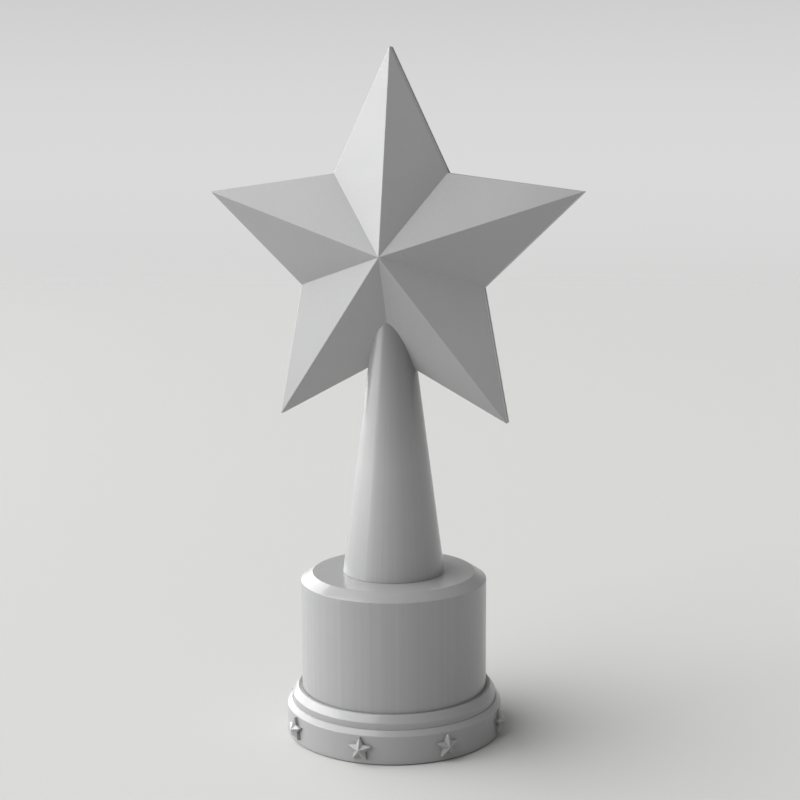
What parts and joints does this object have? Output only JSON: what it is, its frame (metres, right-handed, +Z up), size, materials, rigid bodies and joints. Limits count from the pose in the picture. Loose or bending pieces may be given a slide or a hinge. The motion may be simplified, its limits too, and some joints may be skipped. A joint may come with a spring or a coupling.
{
  "type": "star trophy",
  "caption": "Award trophy: a faceted two-sided star on a tapered round column, a plain drum and a stepped base ring with small raised stars round it.",
  "frame": {"origin": "centre of the felt underside, on the surface the trophy stands on", "axes": "+Z up the column; -Y is the star's front, +X is to the right seen from the front"},
  "size_m": [0.1674, 0.1024, 0.3],
  "materials": {
    "lacquer": "light grey satin-gloss lacquer on die-cast metal",
    "steel": "zinc-plated steel",
    "zinc": "bare die-cast zinc, dull",
    "iron": "raw sand-cast iron",
    "felt": "charcoal felt"
  },
  "bodies": {
    "root": {"star_front_shell": "lacquer", "star_rear_shell": "lacquer", "star_pin_1": "steel", "star_pin_2": "steel", "star_pin_3": "steel", "star_pin_4": "steel", "star_pin_5": "steel", "star_core": "zinc", "core_screw_1": "steel", "core_screw_2": "steel", "column_shell": "lacquer", "column_top_bush": "zinc", "column_foot_bush": "zinc", "drum_shell": "lacquer", "base_collar": "lacquer", "base_band": "lacquer", "base_star_1": "lacquer", "base_star_2": "lacquer", "base_star_3": "lacquer", "base_star_4": "lacquer", "base_star_5": "lacquer", "base_star_6": "lacquer", "base_star_7": "lacquer", "base_star_8": "lacquer", "tie_rod": "steel", "rod_nut": "steel", "rod_spring_washer": "steel", "rod_washer": "steel", "ballast": "iron", "ballast_spacer": "steel", "base_plate": "steel", "base_plate_screw_1": "steel", "base_plate_screw_2": "steel", "base_plate_screw_3": "steel", "base_plate_screw_4": "steel", "felt_pad": "felt"}
  },
  "joints": []
}
